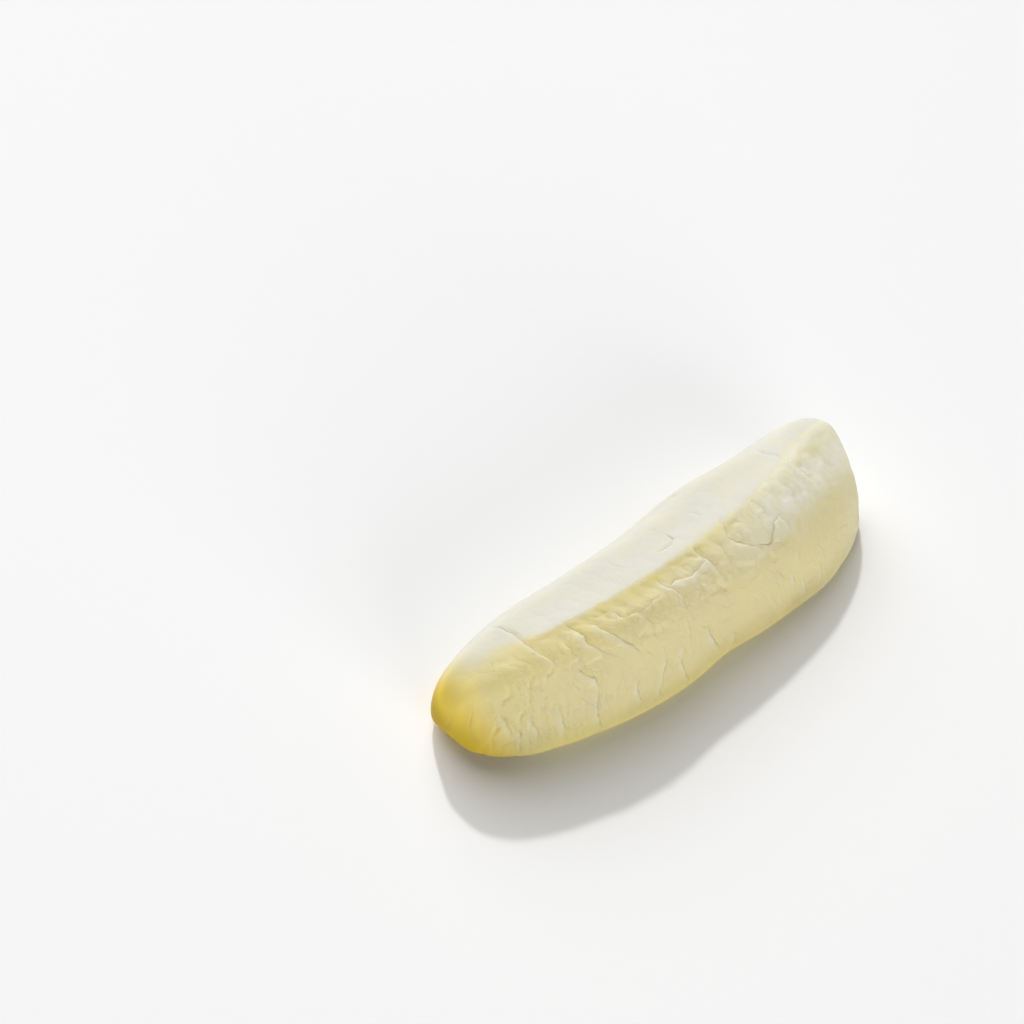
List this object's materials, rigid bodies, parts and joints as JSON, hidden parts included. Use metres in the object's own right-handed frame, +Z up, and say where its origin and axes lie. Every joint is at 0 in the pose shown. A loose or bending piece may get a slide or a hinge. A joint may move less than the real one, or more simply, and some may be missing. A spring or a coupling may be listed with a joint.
{
  "type": "foam banana candy",
  "caption": "Soft foam banana candy: a slightly curved bar with a flat underside, a crisp top ridge, sloping shoulders and fine skin cracks.",
  "frame": {"origin": "centre of the footprint of the bounding box, on the surface the candy lies on", "axes": "+X along the length towards the rounded paler end, +Y across towards the hollow side of the bend, +Z up"},
  "size_m": [0.065, 0.0226, 0.0156],
  "materials": {
    "banana_foam": "dry, chalky, finely cracked pale yellow sugar-foam skin, stronger yellow and slightly translucent at the blunt end"
  },
  "bodies": {
    "root": {"foam_banana": "banana_foam"}
  },
  "joints": []
}
